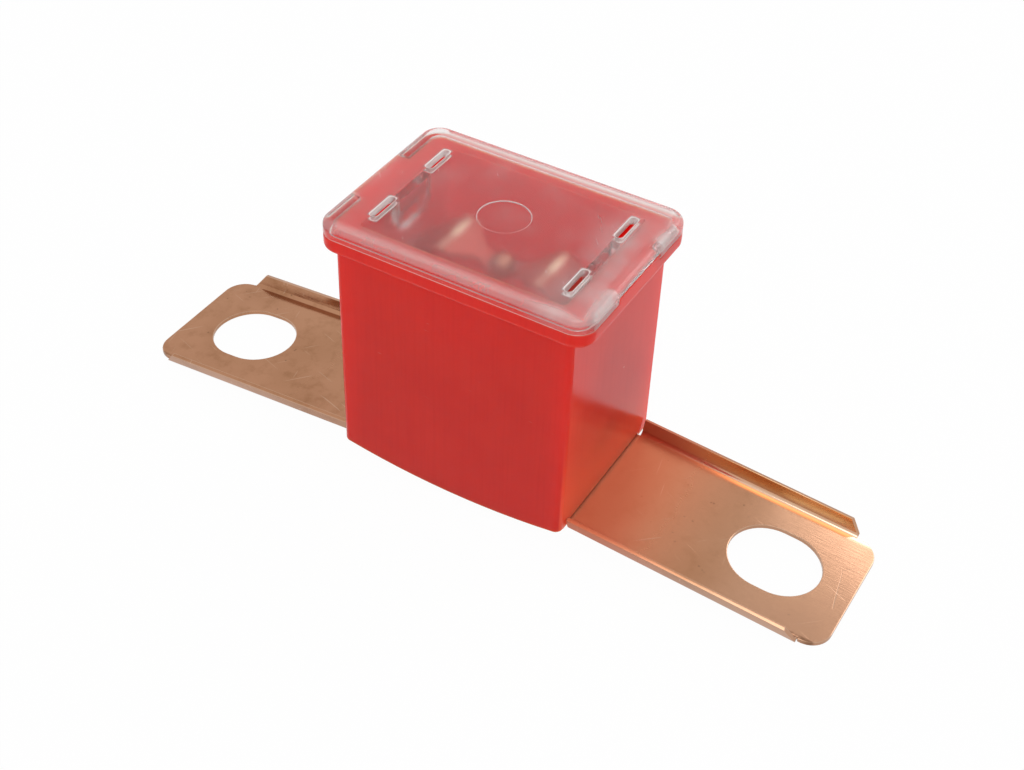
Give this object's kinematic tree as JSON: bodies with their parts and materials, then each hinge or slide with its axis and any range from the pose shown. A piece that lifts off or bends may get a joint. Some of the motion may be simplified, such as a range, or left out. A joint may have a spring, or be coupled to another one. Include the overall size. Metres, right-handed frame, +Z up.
{
  "type": "bolt-in automotive cartridge fuse",
  "caption": "Bolt-in automotive cartridge fuse: red moulded box with a clear clip-on cover, and a lipped copper strip that forms the slotted bolt terminals and the fusible bridge inside.",
  "frame": {"origin": "midway between the two bolt slots, in the plane that the terminal tips rest on", "axes": "+X along the terminals, +Y across the housing, +Z up through the cover"},
  "size_m": [0.0504, 0.013, 0.0187],
  "materials": {
    "housing_plastic": "semi-gloss red moulded nylon with faint draw lines",
    "clear_plastic": "clear moulded polycarbonate",
    "copper": "bare stamped copper alloy, satin, lightly scuffed",
    "tin": "soft bright tin"
  },
  "bodies": {
    "root": {"housing": "housing_plastic", "cover": "clear_plastic", "fuse_strip": "copper", "tin_drop": "tin"}
  },
  "joints": []
}
